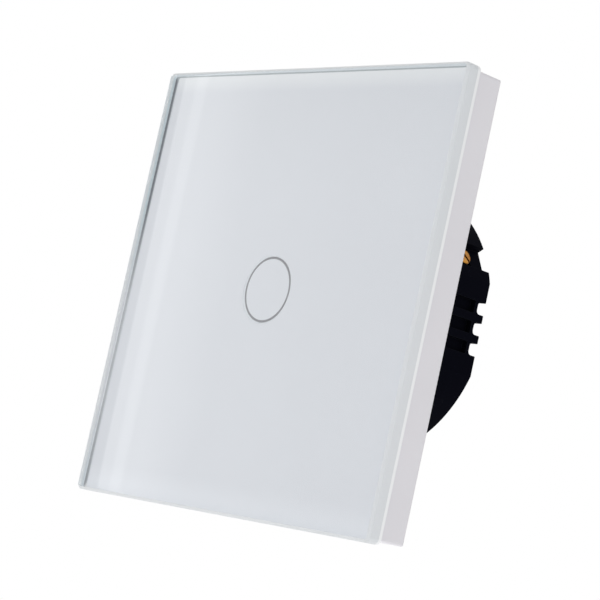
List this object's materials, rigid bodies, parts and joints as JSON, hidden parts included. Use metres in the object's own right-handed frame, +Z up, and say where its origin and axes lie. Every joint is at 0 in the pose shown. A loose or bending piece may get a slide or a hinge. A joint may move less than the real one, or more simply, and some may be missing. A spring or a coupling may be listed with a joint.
{
  "type": "touch dimmer switch",
  "caption": "Square touch dimmer with a glass front and printed touch ring, a pull-off frame and a round black housing with screw terminals for a wall box.",
  "frame": {"origin": "centre of the frame's back edge, in the wall's surface and midway between the box screws", "axes": "+X to the user's right, +Y into the wall, +Z up"},
  "size_m": [0.08, 0.0321, 0.08],
  "materials": {
    "clear_glass": "polished, bevelled edges",
    "white_print": "screen print under glass",
    "grey_print": "screen print under glass",
    "foam_tape": "closed cell foam",
    "white_plastic": "moulded, satin",
    "black_plastic": "moulded, fine grain",
    "clear_plastic": "clear moulded",
    "led_resin": "cast resin",
    "conductive_foam": "woven skin over foam",
    "board_green": "solder mask",
    "chip_black": "moulded epoxy",
    "chip_ceramic": "sintered",
    "zinc_steel": "zinc plated",
    "brass": "bright",
    "gold_pins": "plated",
    "aluminium": "bare sheet",
    "capacitor_sleeve": "shrunk sleeve",
    "capacitor_yellow": "moulded case",
    "ferrite": "sintered",
    "copper_wire": "enamelled",
    "fuse_brown": "moulded cap",
    "varistor_blue": "dipped epoxy"
  },
  "bodies": {
    "base": {"mounting_strap": "zinc_steel", "front_carrier": "black_plastic", "touch_board": "board_green", "light_guide": "clear_plastic", "indicator_leds": "led_resin", "sensor_pad": "conductive_foam", "touch_chip": "chip_black", "chip_parts": "chip_ceramic", "board_screws": "zinc_steel", "link_strip": "chip_black", "link_pins": "gold_pins", "link_socket": "chip_black", "back_box": "black_plastic", "rear_cover": "black_plastic", "case_screws": "zinc_steel", "power_board": "board_green", "terminal_bars": "brass", "dimmer_triac": "chip_black", "heat_sink": "aluminium", "heat_sink_screw": "zinc_steel", "heat_sink_nut": "zinc_steel", "reservoir_capacitor": "capacitor_sleeve", "film_capacitor": "capacitor_yellow", "choke_core": "ferrite", "choke_winding": "copper_wire", "fuse": "fuse_brown", "varistor": "varistor_blue"},
    "panel": {"glass_panel": "clear_glass", "panel_film": "white_print", "ring_print": "grey_print", "panel_tape": "foam_tape", "panel_frame": "white_plastic"},
    "screw_1": {"terminal_screw_1": "brass"},
    "cage_1": {"clamp_cage_1": "brass"},
    "screw_2": {"terminal_screw_2": "brass"},
    "cage_2": {"clamp_cage_2": "brass"},
    "screw_3": {"terminal_screw_3": "brass"},
    "cage_3": {"clamp_cage_3": "brass"},
    "screw_4": {"terminal_screw_4": "brass"},
    "cage_4": {"clamp_cage_4": "brass"}
  },
  "joints": [
    {"name": "panel_pull", "type": "slide", "parent": "base", "child": "panel", "axis": [0, -1, 0], "range_m": [0, 0.012]},
    {"name": "screw_turn_1", "type": "hinge", "parent": "base", "child": "screw_1", "pos_m": [0.02031, 0.01865, 0.01351], "axis": [-0.8572, 0, -0.515], "range_deg": [0, 1600]},
    {"name": "cage_rise_1", "type": "slide", "parent": "base", "child": "cage_1", "axis": [0.8572, 0, 0.515], "range_m": [0, 0.002]},
    {"name": "screw_turn_2", "type": "hinge", "parent": "base", "child": "screw_2", "pos_m": [0.00798, 0.01865, 0.02362], "axis": [-0.3365, 0, -0.9417], "range_deg": [0, 1600]},
    {"name": "cage_rise_2", "type": "slide", "parent": "base", "child": "cage_2", "axis": [0.3365, 0, 0.9417], "range_m": [0, 0.002]},
    {"name": "screw_turn_3", "type": "hinge", "parent": "base", "child": "screw_3", "pos_m": [-0.00798, 0.01865, 0.02362], "axis": [0.3365, 0, -0.9417], "range_deg": [0, 1600]},
    {"name": "cage_rise_3", "type": "slide", "parent": "base", "child": "cage_3", "axis": [-0.3365, 0, 0.9417], "range_m": [0, 0.002]},
    {"name": "screw_turn_4", "type": "hinge", "parent": "base", "child": "screw_4", "pos_m": [-0.02031, 0.01865, 0.01351], "axis": [0.8572, 0, -0.515], "range_deg": [0, 1600]},
    {"name": "cage_rise_4", "type": "slide", "parent": "base", "child": "cage_4", "axis": [-0.8572, 0, 0.515], "range_m": [0, 0.002]}
  ],
  "couplings": [
    {"joint": "screw_turn_1", "follows": "cage_rise_1", "rad_per_m": 13963},
    {"joint": "screw_turn_2", "follows": "cage_rise_2", "rad_per_m": 13963},
    {"joint": "screw_turn_3", "follows": "cage_rise_3", "rad_per_m": 13963},
    {"joint": "screw_turn_4", "follows": "cage_rise_4", "rad_per_m": 13963}
  ]
}
